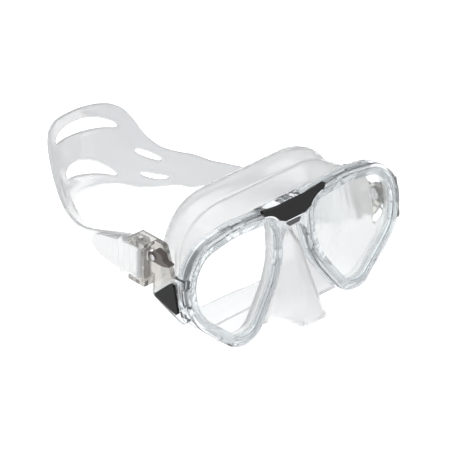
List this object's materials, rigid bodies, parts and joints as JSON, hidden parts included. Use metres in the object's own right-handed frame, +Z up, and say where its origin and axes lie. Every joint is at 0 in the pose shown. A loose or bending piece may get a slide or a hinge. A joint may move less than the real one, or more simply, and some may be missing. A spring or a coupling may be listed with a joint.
{
  "type": "diving mask",
  "caption": "Twin-lens diving mask with a clear moulded frame, soft silicone skirt with a nose pocket, swivel buckles with press levers, and a split-pad head strap.",
  "frame": {"origin": "on the surface the mask stands on, under the middle of its whole length and width, strap included", "axes": "+Z up, the lenses face -Y, the strap runs back to +Y, +X is on the right seen from the front"},
  "size_m": [0.1748, 0.1733, 0.0824],
  "materials": {
    "clear_frame": "clear, cool-tinted polycarbonate, polished",
    "clear_ring": "clear polycarbonate, polished",
    "lens_glass": "tempered, polished",
    "clear_silicone": "clear liquid silicone, satin",
    "strap_silicone": "clear grey silicone, satin",
    "gloss_black": "piano black",
    "bright_trim": "bright plated",
    "smoked_inlay": "smoked, polished",
    "smoked_buckle": "warm smoke-grey, semi-clear",
    "dark_lever": "dark smoke, semi-clear",
    "grey_roller": "moulded acetal",
    "steel_pin": "ground",
    "spring_steel": "drawn wire"
  },
  "bodies": {
    "mask": {"front_frame": "clear_frame", "skirt": "clear_silicone", "bridge_badge": "gloss_black", "bridge_trim": "bright_trim", "bridge_inlay": "smoked_inlay", "lens_left": "lens_glass", "lens_right": "lens_glass", "retainer_left": "clear_ring", "retainer_right": "clear_ring", "side_badge_left": "gloss_black", "side_badge_right": "gloss_black", "buckle_pivot_left": "steel_pin", "buckle_pivot_right": "steel_pin"},
    "harness": {"strap": "strap_silicone", "buckle_body_left": "smoked_buckle", "buckle_body_right": "smoked_buckle", "roller_pin_left": "steel_pin", "roller_pin_right": "steel_pin", "latch_pin_left": "steel_pin", "latch_pin_right": "steel_pin", "latch_spring_left": "spring_steel", "latch_spring_right": "spring_steel"},
    "roller_left": {"roller_left": "grey_roller"},
    "roller_right": {"roller_right": "grey_roller"},
    "latch_left": {"latch_left": "dark_lever"},
    "latch_right": {"latch_right": "dark_lever"}
  },
  "joints": [
    {"name": "strap_swing", "type": "hinge", "parent": "mask", "child": "harness", "pos_m": [0, -0.05293, 0.04261], "axis": [1, 0, 0], "range_deg": [-5, 18]},
    {"name": "roller_spin_left", "type": "hinge", "parent": "harness", "child": "roller_left", "pos_m": [-0.082, -0.03083, 0.05591], "axis": [0, 0, 1], "continuous": true},
    {"name": "latch_press_left", "type": "hinge", "parent": "harness", "child": "latch_left", "pos_m": [-0.08155, -0.04243, 0.0623], "axis": [1, 0, 0], "range_deg": [0, 6], "stiffness_Nm_per_rad": 0.02},
    {"name": "roller_spin_right", "type": "hinge", "parent": "harness", "child": "roller_right", "pos_m": [0.082, -0.03036, 0.03012], "axis": [0, 0.866, 0.5], "continuous": true},
    {"name": "latch_press_right", "type": "hinge", "parent": "harness", "child": "latch_right", "pos_m": [0.08155, -0.03062, 0.04336], "axis": [1, 0, 0], "range_deg": [0, 6], "stiffness_Nm_per_rad": 0.02}
  ]
}
